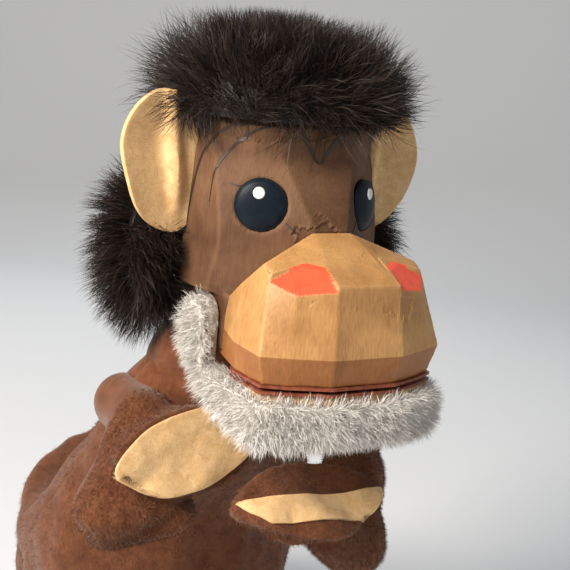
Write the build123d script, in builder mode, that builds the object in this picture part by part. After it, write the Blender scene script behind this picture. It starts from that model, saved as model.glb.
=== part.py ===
"""Moving mouth puppet: carved ape head with a hinged jaw on a sewn glove body.

Lengths are millimetres. +Z is up and the face looks towards -Y. The origin is the centre of
the round arm opening at the glove's hem. Head dimensions are given from the nose root, the
notch between the eyes where the muzzle meets the brow: x to the puppet's left, f forward, z up.
"""
from build123d import *
from math import cos, radians, sin
import os

os.makedirs("parts", exist_ok=True)

# ---- driving dimensions -------------------------------------------------------------------
NOSE_Y = -196.0           # nose root ahead of the arm opening
NOSE_Z = 272.0            # nose root above the arm opening
HINGE_F = -38.0           # jaw hinge, behind and below the nose root
HINGE_Z = -50.0
PIN_R = 2.5
PIN_PLAY = 0.05
EYE_R = 13.4
EYE_X = 31.3
EYE_F = -19.0
EYE_Z = 10.3
EYE_YAW = 32.6            # eye facets turn this far outwards
EYE_TILT = 4.9            # and this far upwards
EAR_F = -60.0
EAR_T = 2.6
LIP_T = 1.3               # lip leather
LIP_OUT = 1.6             # how far the leather stands out past the wood
MUZZLE_BOTTOM = -68.0
JAW_TOP = -72.4
NECK_F = -74.0            # neck axis
CLOTH_T = 2.4
HEM_R = 80.0
HEM_LENGTH = 22.0
SHOULDER_X = 66.0
SHOULDER_F = -66.0
SHOULDER_Z = -112.0
ARMHOLE_R = 19.0
SLEEVE_R = 17.5
PALM_T = 1.4


def at(x, f, z):
    """A point given from the nose root, as a point in the part's own frame."""
    return Vector(x, NOSE_Y - f, NOSE_Z + z)


def facing(x, f, z):
    """A direction given as left, forward and up."""
    return Vector(x, -f, z)


def level(z):
    """Horizontal plane at a height above the nose root."""
    return Plane.XY.offset(NOSE_Z + z)


def mirrored_outline(half):
    """Plan outline from the corner points of its left half, front to back."""
    left = [(x, NOSE_Y - f) for x, f in half]
    right = [(-x, y) for x, y in reversed(left)]
    return left + right


def side_plane(x):
    """Upright plane at x, whose sketch runs backwards along +Y and up along +Z."""
    return Plane(origin=(x, 0, 0), x_dir=(0, 1, 0), z_dir=(1, 0, 0))


def side_points(points):
    """Side profile given as forward, up, in the sketch of side_plane."""
    return [(NOSE_Y - f, NOSE_Z + z) for f, z in points]


def export(piece, node):
    """Label a finished piece and write its STEP file."""
    piece.part.label = node
    export_step(piece.part, f"parts/{node}.step")


# ---- ears: D-shaped felt flaps standing out from slots in the skull ------------------------
EAR_OUTLINE = [(47, 8), (48, 34), (55, 57), (70, 62), (84, 53), (91, 32), (85, 9), (72, -7), (58, -11)]


def ear(side):
    with BuildPart() as flap:
        front = Plane(origin=at(0, EAR_F + EAR_T / 2, 0), x_dir=(1, 0, 0), z_dir=(0, -1, 0))
        with BuildSketch(front):
            with BuildLine():
                Spline([(side * x, z) for x, z in EAR_OUTLINE], periodic=True)
            make_face()
        extrude(amount=-EAR_T)
    return flap


right_ear = ear(-1)
left_ear = ear(1)

# ---- cranium: faceted hollow block, lower part stepped in to clear the jaw's side arms -----
SKULL_PLANS = [
    (-38, [(12, -5), (30, -14), (50, -36), (52, -60), (44, -88), (16, -101)]),
    (-13, [(12, -4), (30, -15), (48, -29), (52, -60), (45, -92), (16, -105)]),
    (0, [(10, 0), (30, -17), (48, -30), (52, -60), (45, -94), (16, -107)]),
    (34, [(21, -18.8), (33, -26), (48, -41), (51, -64), (43, -94), (15, -107)]),
    (49, [(20, -16), (36, -25), (46, -38), (48, -64), (40, -91), (14, -103)]),
    (63, [(16, -31), (28, -37), (38, -47), (40, -66), (33, -87), (12, -96)]),
    (73, [(10, -47), (17, -50), (24, -56), (25, -67), (20, -79), (8, -85)]),
]
LOWER_PLAN = [(12, -12), (40, -14), (44, -24), (44, -80), (34, -92), (14, -98)]
FINGER_PLAN = [(20, -24), (35, -40), (36, -78), (26, -88)]
FINGER_TOP = 26.0

with BuildPart() as skull_block:
    for height, half_plan in SKULL_PLANS:
        with BuildSketch(level(height)):
            Polygon(*mirrored_outline(half_plan), align=None)
    loft(ruled=True)
    with BuildSketch(level(MUZZLE_BOTTOM + 2)):
        Polygon(*mirrored_outline(LOWER_PLAN), align=None)
    extrude(amount=30)


def eye_plane(side):
    """Plane lying on an eye facet, its normal pointing outwards."""
    yaw = radians(EYE_YAW)
    tilt = radians(EYE_TILT)
    normal = facing(side * sin(yaw) * cos(tilt), cos(yaw) * cos(tilt), sin(tilt))
    across = facing(side * cos(yaw), -sin(yaw), 0)
    return Plane(origin=at(side * EYE_X, EYE_F, EYE_Z), x_dir=across, z_dir=normal)


with BuildPart() as cranium:
    add(skull_block.part)
    # finger chamber, open at the neck
    with BuildSketch(level(MUZZLE_BOTTOM)):
        Polygon(*mirrored_outline(FINGER_PLAN), align=None)
    extrude(amount=FINGER_TOP - MUZZLE_BOTTOM, mode=Mode.SUBTRACT)
    # round sockets for the eyes
    for side in (-1, 1):
        with BuildSketch(eye_plane(side).offset(-3)):
            Circle(EYE_R)
        extrude(amount=16, mode=Mode.SUBTRACT)
    # slots for the ears
    add(right_ear.part, mode=Mode.SUBTRACT)
    add(left_ear.part, mode=Mode.SUBTRACT)
    # holes for the hinge pins
    with BuildSketch(side_plane(0)):
        with Locations(side_points([(HINGE_F, HINGE_Z)])[0]):
            Circle(PIN_R)
    extrude(amount=60, both=True, mode=Mode.SUBTRACT)

# ---- muzzle: separate honey-coloured block, its back cut to the face -----------------------
NOSTRIL_WALL = 18.4       # inner wall of a nostril cut, left of centre
NOSTRIL_BACK = 19.0
MUZZLE_PLANS = [
    (MUZZLE_BOTTOM, [(18, 41), (38, 33), (49, 27), (50, 2), (42, -30)]),
    (-53.6, [(20, 44), (40, 35.5), (53, 29), (52, 2), (42, -30)]),
    (-17.5, [(18, 38), (36, 30), (45, 18), (46, -4), (40, -30)]),
    (4, [(16, 31), (32, 24), (42, 12), (42, -8), (38, -30)]),
]


def muzzle_trim(point, normal):
    """Cut plane through a point, keeping the wood below it."""
    return Plane(origin=at(*point), z_dir=facing(*normal))


def nostril_plane(side):
    """Flat floor of a nostril cut, sloping outwards and forwards."""
    return muzzle_trim((side * 26.9, 20.1, -12.6), (side * 0.334, 0.529, 0.779))


def nostril_cut(side):
    """Block of wood taken out of the muzzle for one nostril."""
    with BuildPart() as cut:
        with BuildSketch(level(-40)):
            with Locations((side * (NOSTRIL_WALL + 20), NOSE_Y - NOSTRIL_BACK - 20)):
                Rectangle(40, 40)
        extrude(amount=50)
        split(bisect_by=nostril_plane(side), keep=Keep.TOP)
    return cut


with BuildPart() as muzzle:
    for height, half_plan in MUZZLE_PLANS:
        with BuildSketch(level(height)):
            Polygon(*mirrored_outline(half_plan), align=None)
    loft(ruled=True)
    split(bisect_by=muzzle_trim((0, 0, 0), (0, 0.447, 0.894)), keep=Keep.BOTTOM)
    for side in (-1, 1):
        split(bisect_by=muzzle_trim((side * 10, 0, 0), (side * 0.205, 0.396, 0.898)), keep=Keep.BOTTOM)
        split(bisect_by=muzzle_trim((side * 45, 11.6, -13), (side * 0.90, 0.27, 0.34)), keep=Keep.BOTTOM)
        split(bisect_by=muzzle_trim((side * 10, 0, 0), (side * 0.498, -0.6, 0.8)), keep=Keep.BOTTOM)
    add(skull_block.part, mode=Mode.SUBTRACT)
    # shallow nostril cuts: everything outside the inner wall and above the sloping floor
    for side in (-1, 1):
        add(nostril_cut(side).part, mode=Mode.SUBTRACT)

# ---- eyes: shallow domed discs with a white dot --------------------------------------------
GLINT_R = 3.05
GLINT_UP = 5.8
GLINT_OUT = 1.2


def eye(side):
    with BuildPart() as disc:
        with BuildSketch(eye_plane(side).offset(-3)):
            Circle(EYE_R)
        extrude(amount=4.2)
        fillet(disc.edges().group_by(lambda e: (e.center() - eye_plane(side).origin).dot(
            eye_plane(side).z_dir))[-1], radius=1.0)
    return disc


right_eye = eye(-1)
left_eye = eye(1)

with BuildPart() as eye_glints:
    for side in (-1, 1):
        with BuildSketch(eye_plane(side).offset(1.2)):
            with Locations((GLINT_OUT, GLINT_UP if side > 0 else -GLINT_UP)):
                Circle(GLINT_R)
        extrude(amount=0.5)

# ---- hinge pins -----------------------------------------------------------------------------
PIN_IN = 36.5
PIN_OUT = 49.6

with BuildPart() as hinge_pins:
    for side in (-1, 1):
        with BuildSketch(side_plane(side * PIN_IN)):
            with Locations(side_points([(HINGE_F, HINGE_Z)])[0]):
                Circle(PIN_R)
        extrude(amount=side * (PIN_OUT - PIN_IN))

# ---- lip leathers ---------------------------------------------------------------------------
LIP_PLAN = [(18, 41), (38, 33), (49, 27), (49.5, 0), (43, -10)]

with BuildPart() as upper_lip_leather:
    with BuildSketch(level(MUZZLE_BOTTOM)):
        Polygon(*mirrored_outline(LIP_PLAN), align=None)
        offset(amount=LIP_OUT)
    extrude(amount=-LIP_T)

with BuildPart() as lower_lip_leather:
    with BuildSketch(level(JAW_TOP)):
        Polygon(*mirrored_outline(LIP_PLAN), align=None)
        offset(amount=LIP_OUT)
    extrude(amount=LIP_T)

# ---- jaw: wooden tray with a thumb pocket and side arms up to the hinge ---------------------
JAW_PLAN = [(18, 41), (38, 33), (49, 27), (50, -6), (50, -52)]
JAW_SIDE = [
    (46, JAW_TOP), (-27, JAW_TOP), (-27.5, HINGE_Z), (-48.5, HINGE_Z), (-46, -64),
    (-22, -82), (-4, -87), (26, -94), (40, -90), (46, -82),
]
ARM_INSIDE = 45.0
POCKET_X = 22.0
POCKET_FRONT = 28.0
POCKET_FLOOR = -86.0

with BuildPart() as jaw_block:
    with BuildSketch(level(-110)):
        Polygon(*mirrored_outline(JAW_PLAN), align=None)
    extrude(amount=80)
    with BuildSketch(side_plane(0)):
        Polygon(*side_points(JAW_SIDE), align=None)
        with Locations(side_points([(HINGE_F, HINGE_Z)])[0]):
            Circle(10.5)
    extrude(amount=60, both=True, mode=Mode.INTERSECT)

with BuildPart() as jaw:
    add(jaw_block.part)
    with BuildSketch(level(-110)):
        with Locations((0, NOSE_Y + 46)):
            Rectangle(2 * ARM_INSIDE, 68)
    extrude(amount=80, mode=Mode.SUBTRACT)
    with BuildSketch(level(POCKET_FLOOR)):
        with Locations((0, NOSE_Y - POCKET_FRONT / 2 + 8)):
            Rectangle(2 * POCKET_X, POCKET_FRONT + 16)
    extrude(amount=20, mode=Mode.SUBTRACT)
    with BuildSketch(side_plane(0)):
        with Locations(side_points([(HINGE_F, HINGE_Z)])[0]):
            Circle(PIN_R + PIN_PLAY)
    extrude(amount=60, both=True, mode=Mode.SUBTRACT)

# ---- chin fur: short pile wrapped around and under the jaw ----------------------------------
FUR_OUT = 6.0
CHIN_SIDE = [
    (54, -75.2), (-23.5, -75.2), (-25.5, -62), (-28, -45), (-36, -41), (-44, -42), (-51, -52),
    (-50, -67), (-24, -87), (-4, -92), (27, -99), (44, -95), (54, -85),
]

with BuildPart() as chin_fur:
    with BuildSketch(level(-110)):
        Polygon(*mirrored_outline(JAW_PLAN[:-1] + [(50, -70)]), align=None)
        offset(amount=FUR_OUT)
    extrude(amount=80)
    with BuildSketch(side_plane(0)):
        Polygon(*side_points(CHIN_SIDE), align=None)
    extrude(amount=80, both=True, mode=Mode.INTERSECT)
    with BuildSketch(level(-110)):
        with Locations((0, NOSE_Y + 12 + 40)):
            Rectangle(2 * ARM_INSIDE + 10, 80)
    extrude(amount=80, mode=Mode.SUBTRACT)
    add(jaw_block.part, mode=Mode.SUBTRACT)

# ---- long fur on the head -------------------------------------------------------------------
CROWN = (0, -57, 58)      # centre of the crown pelt
CROWN_SIZE = (64, 52, 38)
CROWN_EDGE = 47.0
NAPE_EDGE = 4.0
TUFT = (61, -20)          # centre of a cheek tuft, left and up
TUFT_SIZE = (22, 38)
TUFT_FRONT = -63.0
TUFT_DEPTH = 30.0


def pelt(centre, size):
    """Egg-shaped lump of pile."""
    lump = scale(Sphere(1.0), by=size)
    return Pos(*at(*centre)) * lump


with BuildPart() as crown_fur:
    add(pelt(CROWN, CROWN_SIZE))
    with BuildSketch(side_plane(0)):
        Polygon(
            *side_points([(20, CROWN_EDGE), (-62, CROWN_EDGE), (-86, NAPE_EDGE), (-130, NAPE_EDGE),
                          (-130, 120), (20, 120)]),
            align=None,
        )
    extrude(amount=90, both=True, mode=Mode.INTERSECT)
    add(skull_block.part, mode=Mode.SUBTRACT)
    add(right_ear.part, mode=Mode.SUBTRACT)
    add(left_ear.part, mode=Mode.SUBTRACT)


def cheek_fur(side):
    """Tuft behind and below an ear."""
    front = Plane(origin=at(0, TUFT_FRONT, 0), x_dir=(1, 0, 0), z_dir=(0, -1, 0))
    with BuildPart() as tuft:
        with BuildSketch(front):
            with Locations((side * TUFT[0], TUFT[1])):
                Ellipse(*TUFT_SIZE)
        extrude(amount=-TUFT_DEPTH)
        add(skull_block.part, mode=Mode.SUBTRACT)
    return tuft


right_cheek_fur = cheek_fur(-1)
left_cheek_fur = cheek_fur(1)

# ---- neck collar: stiff gathered ring under the head ----------------------------------------
COLLAR_TOP = -77.0
COLLAR_BOTTOM = -92.0
COLLAR_X = 46.0
COLLAR_F = 33.0

with BuildPart() as neck_collar:
    with BuildSketch(level(COLLAR_BOTTOM)):
        with Locations((0, NOSE_Y - NECK_F)):
            Ellipse(COLLAR_X, COLLAR_F)
            Ellipse(COLLAR_X - CLOTH_T, COLLAR_F - CLOTH_T, mode=Mode.SUBTRACT)
    extrude(amount=COLLAR_TOP - COLLAR_BOTTOM)

# ---- glove body: front and back panels sewn along the sides ---------------------------------
# height, forward position of the section's centre, half width, half depth
BODY_SECTIONS = [
    (-96, -79, 58, 35),
    (-128, -103, 66, 38),
    (-165, -124, 77, 45),
    (-205, -151, 90, 54),
]


def hem_plane(up_off=0.0):
    """Plane of the arm opening, or one further up the glove."""
    up = Vector(0, -0.56, 0.8285)
    return Plane(origin=up * up_off, x_dir=(1, 0, 0), z_dir=up)


def panel_section(plane, half_width, half_depth, start):
    """Half of the glove's cloth ring, 180 degrees round from the start angle."""
    with BuildSketch(plane) as section:
        with BuildLine():
            outer = EllipticalCenterArc((0, 0), half_width, half_depth, start, arc_size=180)
            inner = EllipticalCenterArc(
                (0, 0), half_width - CLOTH_T, half_depth - CLOTH_T, start, arc_size=180
            )
            Line(outer @ 0, inner @ 0)
            Line(outer @ 1, inner @ 1)
        make_face()
    return section.sketch


def armhole_plane(side):
    """Upright plane facing forward behind the shoulder."""
    return Plane(
        origin=at(side * SHOULDER_X, SHOULDER_F - 40, SHOULDER_Z), x_dir=(1, 0, 0), z_dir=(0, -1, 0)
    )


def body_panel(front):
    """One panel of the glove, seamed to the other along both sides."""
    start = 180 if front else 0
    sections = [panel_section(hem_plane(HEM_LENGTH), HEM_R, HEM_R, start)]
    for height, f, half_width, half_depth in reversed(BODY_SECTIONS):
        plane = Plane(origin=at(0, f, height), x_dir=(1, 0, 0), z_dir=(0, 0, 1))
        sections.append(panel_section(plane, half_width, half_depth, start))
    with BuildPart() as panel:
        for lower, upper in zip(sections, sections[1:]):
            loft([lower.faces()[0], upper.faces()[0]], ruled=True)
        for side in (-1, 1):
            with BuildSketch(armhole_plane(side)):
                Circle(ARMHOLE_R)
            extrude(amount=80, mode=Mode.SUBTRACT)
    return panel


body_front_panel = body_panel(True)
body_back_panel = body_panel(False)

with BuildPart() as hem_band:
    with BuildSketch(hem_plane()):
        Circle(HEM_R)
        Circle(HEM_R - CLOTH_T, mode=Mode.SUBTRACT)
    extrude(amount=HEM_LENGTH)

# ---- arms: stuffed sleeve, mitten and felt palm ----------------------------------------------


def limb(points, radii):
    """Stuffed tube through a chain of points, round at every bend."""
    with BuildPart() as tube:
        for start, end, r_start, r_end in zip(points, points[1:], radii, radii[1:]):
            run = end - start
            with BuildSketch(Plane(origin=start, z_dir=run)):
                Circle(r_start)
            with BuildSketch(Plane(origin=end, z_dir=run)):
                Circle(r_end)
            loft()
        for point, radius in zip(points, radii):
            with Locations(point):
                Sphere(radius)
    return tube


def leaf(half_length, half_height):
    """Palm outline, pointed at both ends."""
    with BuildSketch() as outline:
        with BuildLine():
            Spline(
                (-half_length, 0),
                (-half_length * 0.4, half_height * 0.86),
                (half_length * 0.35, half_height * 0.9),
                (half_length, 0),
            )
            Spline(
                (half_length, 0),
                (half_length * 0.35, -half_height),
                (-half_length * 0.4, -half_height * 0.95),
                (-half_length, 0),
            )
        make_face()
    return outline.sketch


def hand_plane(centre, tilt, turn):
    """Plane of a palm: tilted back from upright and turned within its own face."""
    z_dir = facing(0, cos(radians(tilt)), sin(radians(tilt)))
    return Plane(origin=at(*centre), x_dir=(1, 0, 0), z_dir=z_dir).rotated((0, 0, turn))


RIGHT_HAND = hand_plane((-50, -35, -123), 8, 0)
LEFT_HAND = hand_plane((17, -17.8, -150), 48, -6)
PALM_HALF_LENGTH = 42.0
PALM_HALF_HEIGHT = 21.0
MITTEN_MARGIN = 2.6
MITTEN_T = 13.0


def mitten(plane):
    with BuildPart() as hand:
        with BuildSketch(plane):
            add(leaf(PALM_HALF_LENGTH + MITTEN_MARGIN, PALM_HALF_HEIGHT + MITTEN_MARGIN))
        extrude(amount=-MITTEN_T)
    return hand


def palm(plane):
    with BuildPart() as patch:
        with BuildSketch(plane):
            add(leaf(PALM_HALF_LENGTH, PALM_HALF_HEIGHT))
        extrude(amount=PALM_T)
    return patch


right_mitten = mitten(RIGHT_HAND)
left_mitten = mitten(LEFT_HAND)
right_palm = palm(RIGHT_HAND)
left_palm = palm(LEFT_HAND)

RIGHT_ARM_POINTS = [at(-66, -88, -112), at(-66, -62, -112), at(-84, -56, -162), at(-56, -48, -160)]
LEFT_ARM_POINTS = [at(66, -88, -112), at(66, -60, -112), at(66, -43, -196), at(40, -31, -180)]
ARM_RADII = [SLEEVE_R, SLEEVE_R, 20.0, 15.0]


def sleeve(points, hand):
    with BuildPart() as arm:
        add(limb(points, ARM_RADII).part)
        add(hand.part, mode=Mode.SUBTRACT)
    return arm


right_sleeve = sleeve(RIGHT_ARM_POINTS, right_mitten)
left_sleeve = sleeve(LEFT_ARM_POINTS, left_mitten)

# ---- write one STEP per piece -----------------------------------------------------------------
PIECES = {
    "cranium": cranium,
    "muzzle": muzzle,
    "right_eye": right_eye,
    "left_eye": left_eye,
    "eye_glints": eye_glints,
    "right_ear": right_ear,
    "left_ear": left_ear,
    "crown_fur": crown_fur,
    "right_cheek_fur": right_cheek_fur,
    "left_cheek_fur": left_cheek_fur,
    "hinge_pins": hinge_pins,
    "upper_lip_leather": upper_lip_leather,
    "jaw": jaw,
    "lower_lip_leather": lower_lip_leather,
    "chin_fur": chin_fur,
    "neck_collar": neck_collar,
    "body_front_panel": body_front_panel,
    "body_back_panel": body_back_panel,
    "hem_band": hem_band,
    "right_sleeve": right_sleeve,
    "right_mitten": right_mitten,
    "right_palm": right_palm,
    "left_sleeve": left_sleeve,
    "left_mitten": left_mitten,
    "left_palm": left_palm,
}
for node, piece in PIECES.items():
    export(piece, node)
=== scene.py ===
# %% [markdown]
# # A moving mouth puppet, piece by piece
# The puppet is a carved wooden ape head on a sewn glove. The solids and joints come
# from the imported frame, and this script gives every piece its finished surface.
# Lengths are in metres. Head positions are written from the nose root, the notch between
# the eyes, as left, forward and up in millimetres, because that is how a carver marks out.

# %% load the frame
import math
import bmesh
import bpy
import numpy as np
from mathutils import Matrix, Vector, noise
from mathutils.kdtree import KDTree


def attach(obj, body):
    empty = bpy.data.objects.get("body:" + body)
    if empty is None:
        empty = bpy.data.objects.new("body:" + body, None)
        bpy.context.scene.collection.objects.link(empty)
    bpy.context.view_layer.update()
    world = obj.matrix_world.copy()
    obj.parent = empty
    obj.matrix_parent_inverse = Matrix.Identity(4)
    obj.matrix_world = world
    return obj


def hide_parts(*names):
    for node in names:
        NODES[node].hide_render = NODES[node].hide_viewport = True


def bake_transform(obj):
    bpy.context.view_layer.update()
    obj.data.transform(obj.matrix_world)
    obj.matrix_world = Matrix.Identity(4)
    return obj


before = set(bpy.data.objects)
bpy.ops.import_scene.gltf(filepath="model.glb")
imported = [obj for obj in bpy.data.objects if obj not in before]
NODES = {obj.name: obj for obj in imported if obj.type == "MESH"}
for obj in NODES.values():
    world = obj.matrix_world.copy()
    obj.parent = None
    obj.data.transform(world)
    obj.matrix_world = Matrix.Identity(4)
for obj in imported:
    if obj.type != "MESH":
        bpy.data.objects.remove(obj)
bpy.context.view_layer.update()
SIDES = ((-1, "right"), (1, "left"))      # the puppet's own right is at -X
NOSE_Y, NOSE_Z = -0.196, 0.272


def at(x, f, z):
    """Left, forward, up from the nose root in millimetres, as a point of the frame."""
    return Vector((x / 1000, NOSE_Y - f / 1000, NOSE_Z + z / 1000))


print("pieces in the frame:", len(NODES))


# %% [markdown]
# ## Shared shader groups
# Wood, felt and nap each need the same few patterns at different scales. A node group holds
# one pattern with named inputs, so every material can place it with its own values. The
# groups put out masks and heights only; the shader itself stays in each material.

# %% group helper
def new_group(name, inputs, outputs):
    """Node group with float inputs and outputs; returns the tree and its two end nodes."""
    tree = bpy.data.node_groups.new(name, "ShaderNodeTree")
    for label, value in inputs:
        socket = tree.interface.new_socket(label, in_out="INPUT", socket_type="NodeSocketFloat")
        socket.default_value = value
    for label in outputs:
        tree.interface.new_socket(label, in_out="OUTPUT", socket_type="NodeSocketFloat")
    return tree, tree.nodes.new("NodeGroupInput"), tree.nodes.new("NodeGroupOutput")


def node(tree, kind, links=(), **settings):
    """Add a node, set its fields and join its inputs: links is (socket, source or value)."""
    made = tree.nodes.new(kind)
    for key, value in settings.items():
        setattr(made, key, value)
    for socket, source in links:
        if isinstance(source, bpy.types.NodeSocket):
            tree.links.new(source, made.inputs[socket])
        else:
            made.inputs[socket].default_value = source
    return made


# %% wood grain group
def build_grain():
    tree, start, end = new_group(
        "wood_grain", [("Fibre", 900.0), ("Blotch", 40.0), ("Stretch", 0.08)], ["Fibres", "Blotches"]
    )
    coords = node(tree, "ShaderNodeTexCoord")
    squash = node(tree, "ShaderNodeCombineXYZ", [(0, 1.0), (1, 1.0), (2, start.outputs["Stretch"])])
    along = node(tree, "ShaderNodeVectorMath", [(0, coords.outputs["Object"]), (1, squash.outputs[0])],
                 operation="MULTIPLY")
    fibres = node(tree, "ShaderNodeTexNoise",
                  [("Vector", along.outputs[0]), ("Scale", start.outputs["Fibre"]), ("Detail", 4.0)])
    blotches = node(tree, "ShaderNodeTexNoise",
                    [("Vector", coords.outputs["Object"]), ("Scale", start.outputs["Blotch"]),
                     ("Detail", 5.0), ("Roughness", 0.6)])
    tree.links.new(fibres.outputs[0], end.inputs["Fibres"])
    tree.links.new(blotches.outputs[0], end.inputs["Blotches"])
    return tree


# %% [markdown]
# Stain rubs off ridges first. How sharply a surface is bent at each point tells where they are.

# %% edge wear group
def build_wear():
    tree, start, end = new_group("edge_wear", [("Low", 0.5), ("High", 0.6)], ["Ridge"])
    shape = node(tree, "ShaderNodeNewGeometry")
    span = node(tree, "ShaderNodeMapRange",
                [("Value", shape.outputs["Pointiness"]), ("From Min", start.outputs["Low"]),
                 ("From Max", start.outputs["High"])])
    tree.links.new(span.outputs[0], end.inputs["Ridge"])
    return tree


# %% [markdown]
# Matted wool shows two sizes of unevenness: lumps where it felted, and single fibres.

# %% nap group for felt and fleece
def build_nap():
    tree, start, end = new_group(
        "cloth_nap", [("Fine", 1600.0), ("Lumps", 160.0)], ["Fuzz", "Felting"]
    )
    coords = node(tree, "ShaderNodeTexCoord")
    fuzz = node(tree, "ShaderNodeTexNoise",
                [("Vector", coords.outputs["Object"]), ("Scale", start.outputs["Fine"]),
                 ("Detail", 6.0), ("Roughness", 0.7)])
    lumps = node(tree, "ShaderNodeTexNoise",
                 [("Vector", coords.outputs["Object"]), ("Scale", start.outputs["Lumps"]),
                  ("Detail", 5.0), ("Roughness", 0.6), ("Distortion", 0.6)])
    tree.links.new(fuzz.outputs[0], end.inputs["Fuzz"])
    tree.links.new(lumps.outputs[0], end.inputs["Felting"])
    return tree


GRAIN, WEAR, NAP = build_grain(), build_wear(), build_nap()
print("shader groups:", [g.name for g in bpy.data.node_groups])


# %% [markdown]
# ## Finishes
# Basswood takes stain unevenly, so the brown head is mottled and its knife ridges are paler,
# where the stain was rubbed back. The muzzle is left its own honey colour. Felt is matted
# wool: a lumpy surface with a soft sheen. Leather is darker in its pores.

# %% material helper
def material(name, rough, sheen=0.0, coat=0.0, specular=0.5):
    mat = bpy.data.materials.new(name)
    mat.use_nodes = True
    tree = mat.node_tree
    shader = tree.nodes["Principled BSDF"]
    shader.inputs["Roughness"].default_value = rough
    shader.inputs["Sheen Weight"].default_value = sheen
    shader.inputs["Sheen Roughness"].default_value = 0.4
    shader.inputs["Coat Weight"].default_value = coat
    shader.inputs["Coat Roughness"].default_value = 0.35
    shader.inputs["Specular IOR Level"].default_value = specular
    return mat, tree, shader


def group(tree, source, **values):
    made = tree.nodes.new("ShaderNodeGroup")
    made.node_tree = source
    for key, value in values.items():
        made.inputs[key].default_value = value
    return made


def tint(tree, factor, low, high, low_at=0.3, high_at=0.7):
    ramp = node(tree, "ShaderNodeValToRGB", [(0, factor)])
    ramp.color_ramp.elements[0].position, ramp.color_ramp.elements[0].color = low_at, (*low, 1)
    ramp.color_ramp.elements[1].position, ramp.color_ramp.elements[1].color = high_at, (*high, 1)
    return ramp.outputs[0]


def mixed(tree, factor, a, b, blend_type="MIX"):
    made = node(tree, "ShaderNodeMix", data_type="RGBA", blend_type=blend_type)
    for socket, source in ((0, factor), (6, a), (7, b)):
        if isinstance(source, bpy.types.NodeSocket):
            tree.links.new(source, made.inputs[socket])
        elif isinstance(source, tuple):
            made.inputs[socket].default_value = (*source, 1)
        else:
            made.inputs[socket].default_value = source
    return made.outputs[2]


def bumped(tree, shader, height, strength, distance):
    bump = node(tree, "ShaderNodeBump",
                [("Height", height), ("Strength", strength), ("Distance", distance)])
    tree.links.new(bump.outputs[0], shader.inputs["Normal"])


def beyond(tree, axis, limit, sign=1.0, mirrored=False):
    """Mask of the side of a plane across an axis: sign * coordinate > limit, in metres."""
    coords = node(tree, "ShaderNodeTexCoord")
    parts = node(tree, "ShaderNodeSeparateXYZ", [(0, coords.outputs["Object"])])
    value = parts.outputs[axis]
    if mirrored:
        value = node(tree, "ShaderNodeMath", [(0, value)], operation="ABSOLUTE").outputs[0]
    scaled = node(tree, "ShaderNodeMath", [(0, value), (1, sign)], operation="MULTIPLY")
    past = node(tree, "ShaderNodeMath", [(0, scaled.outputs[0]), (1, limit)], operation="GREATER_THAN")
    return past.outputs[0]


def tinted_where(mat, mask, colour, amount, blend_type="MIX"):
    """Lay a colour over a finish where a mask holds."""
    tree = mat.node_tree
    shader = tree.nodes["Principled BSDF"]
    below = shader.inputs["Base Color"].links[0].from_socket
    factor = node(tree, "ShaderNodeMath", [(0, mask), (1, amount)], operation="MULTIPLY").outputs[0]
    tree.links.new(mixed(tree, factor, below, colour, blend_type), shader.inputs["Base Color"])


# %% wood finishes
def wood(name, dark, light, ridge, rough=0.5, blotch=32.0, ridge_amount=0.5, specular=0.35):
    mat, tree, shader = material(name, rough, specular=specular)
    grain = group(tree, GRAIN, Fibre=1100.0, Blotch=blotch, Stretch=0.06)
    wear = group(tree, WEAR, Low=0.505, High=0.56)
    base = tint(tree, grain.outputs["Blotches"], dark, light)
    fibres = tint(tree, grain.outputs["Fibres"], (0.72, 0.70, 0.68), (1.0, 1.0, 1.0), 0.35, 0.6)
    grained = mixed(tree, 0.6, base, fibres, "MULTIPLY")
    amount = node(tree, "ShaderNodeMath", [(0, wear.outputs["Ridge"]), (1, ridge_amount)],
                  operation="MULTIPLY")
    tree.links.new(mixed(tree, amount.outputs[0], grained, ridge), shader.inputs["Base Color"])
    bumped(tree, shader, grain.outputs["Fibres"], 0.25, 0.0004)
    return mat


STAINED = wood("stained_basswood", (0.072, 0.032, 0.016), (0.165, 0.086, 0.045),
               (0.30, 0.165, 0.085), rough=0.62, ridge_amount=0.4, specular=0.16)
HONEY = wood("honey_basswood", (0.34, 0.16, 0.052), (0.58, 0.315, 0.115), (0.70, 0.43, 0.19),
             ridge_amount=0.3)
JAW_WOOD = wood("jaw_basswood", (0.30, 0.15, 0.06), (0.50, 0.29, 0.12), (0.6, 0.4, 0.2))



# %% [markdown]
# The band under the muzzle's lower edge is painted darker and browner, as painted shade where it faces
# down. The jaw's side arms are hidden in fur, so they take the colour of its backing.

# %% shaded band and side arms
BAND_DROP = 0.0536        # the muzzle's lower edge, below the nose root
ARM_INSIDE = 0.0455       # the side arms lie outside this, left and right
ARM_FRONT = -0.212
# painted shade: the downward band below the muzzle's lower edge is multiplied darker and browner
painted_shade_band = beyond(HONEY.node_tree, 2, BAND_DROP - NOSE_Z, -1.0)
tinted_where(HONEY, painted_shade_band, (0.66, 0.50, 0.40), 1.0, "MULTIPLY")
jaw_tree = JAW_WOOD.node_tree
side_arm = node(jaw_tree, "ShaderNodeMath",
                [(0, beyond(jaw_tree, 0, ARM_INSIDE, 1.0, True)), (1, beyond(jaw_tree, 1, ARM_FRONT))],
                operation="MULTIPLY")
tinted_where(JAW_WOOD, side_arm.outputs[0], (0.50, 0.47, 0.43), 1.0)

# %% [markdown]
# Paint lies over the grain, so a little of the fibre shows through it and thin spots are paler.

# %% painted finishes
def paint(name, colour, rough, worn, coat=0.0):
    mat, tree, shader = material(name, rough, coat=coat)
    grain = group(tree, GRAIN, Fibre=900.0, Blotch=220.0, Stretch=0.2)
    thin = tint(tree, grain.outputs["Blotches"], worn, colour, 0.3, 0.5)
    tree.links.new(thin, shader.inputs["Base Color"])
    bumped(tree, shader, grain.outputs["Fibres"], 0.12, 0.0002)
    return mat


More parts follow.
